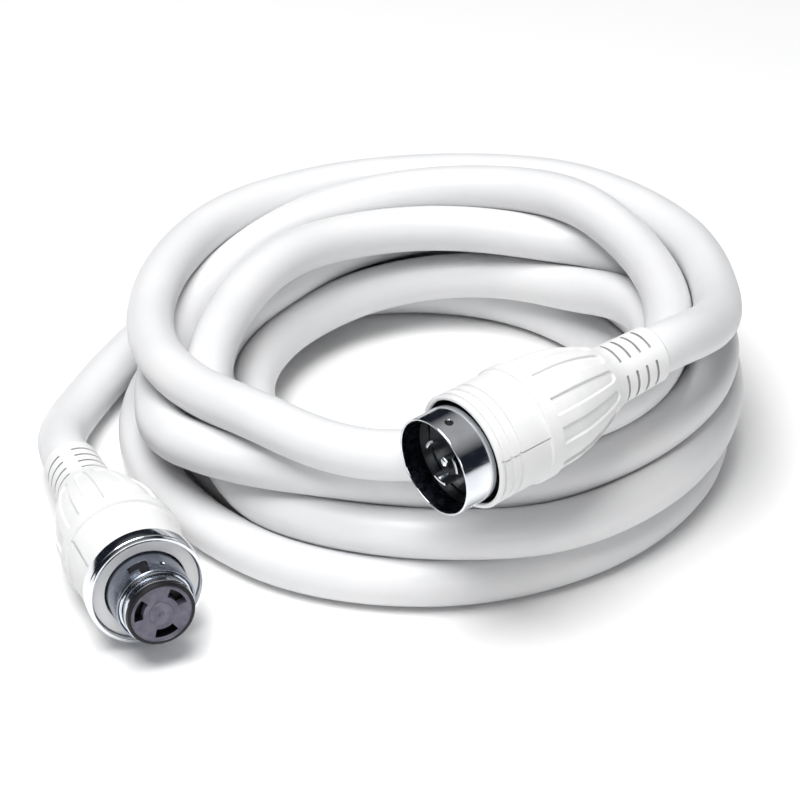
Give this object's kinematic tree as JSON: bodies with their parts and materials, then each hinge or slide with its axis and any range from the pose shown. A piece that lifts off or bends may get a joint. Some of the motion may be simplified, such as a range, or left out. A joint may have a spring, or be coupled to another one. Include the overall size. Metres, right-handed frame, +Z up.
{
  "type": "shore power cord",
  "caption": "Coiled heavy shore power cord with a shrouded twist-lock plug on one end and a twist-lock connector with a coupling ring on the other.",
  "frame": {"origin": "on the ground, in the middle of the box that the plug and the connector span", "axes": "+Z up, +X from the connector's side to the plug's side, -Y the way both ends mostly face"},
  "size_m": [0.4003, 0.4118, 0.148],
  "materials": {
    "white_jacket": "satin, smooth extruded",
    "white_vinyl": "satin, moulded",
    "nickel_plate": "bright plated",
    "brass": "bare, machined",
    "steel": "zinc plated",
    "black_nylon": "semi-gloss, moulded",
    "grey_phenolic": "satin, moulded",
    "black_wire": "satin",
    "red_wire": "satin",
    "white_wire": "satin",
    "green_wire": "satin"
  },
  "bodies": {
    "cord_set": {"connector_body": "black_nylon", "connector_boot": "white_vinyl", "connector_clamp_lower": "black_nylon", "connector_clamp_screw_left": "steel", "connector_clamp_screw_right": "steel", "connector_clamp_upper": "black_nylon", "connector_contact_black": "nickel_plate", "connector_contact_red": "nickel_plate", "connector_contact_white": "nickel_plate", "connector_flange_seal": "white_vinyl", "connector_ground_terminal": "brass", "connector_insulator": "grey_phenolic", "connector_jacket_end": "white_jacket", "connector_sleeve": "nickel_plate", "connector_terminal_screw_black": "steel", "connector_terminal_screw_green": "steel", "connector_terminal_screw_red": "steel", "connector_terminal_screw_white": "steel", "connector_wire_black": "black_wire", "connector_wire_green": "green_wire", "connector_wire_red": "red_wire", "connector_wire_white": "white_wire", "cord_coil": "white_jacket", "cord_lead": "white_jacket", "cord_top_turn": "white_jacket", "plug_blade_black": "nickel_plate", "plug_blade_red": "nickel_plate", "plug_blade_white": "nickel_plate", "plug_body": "black_nylon", "plug_boot": "white_vinyl", "plug_centre_pin": "nickel_plate", "plug_clamp_lower": "black_nylon", "plug_clamp_screw_left": "steel", "plug_clamp_screw_right": "steel", "plug_clamp_upper": "black_nylon", "plug_ground_terminal": "brass", "plug_insulator": "black_nylon", "plug_jacket_end": "white_jacket", "plug_shroud": "nickel_plate", "plug_terminal_screw_black": "steel", "plug_terminal_screw_green": "steel", "plug_terminal_screw_red": "steel", "plug_terminal_screw_white": "steel", "plug_wire_black": "black_wire", "plug_wire_green": "green_wire", "plug_wire_red": "red_wire", "plug_wire_white": "white_wire"},
    "coupling_ring": {"connector_coupling_ring": "nickel_plate"}
  },
  "joints": [
    {"name": "coupling_ring_spin", "type": "hinge", "parent": "cord_set", "child": "coupling_ring", "pos_m": [-0.10429, -0.04664, 0.03365], "axis": [0.3792, -0.9246, 0.0349], "continuous": true}
  ]
}
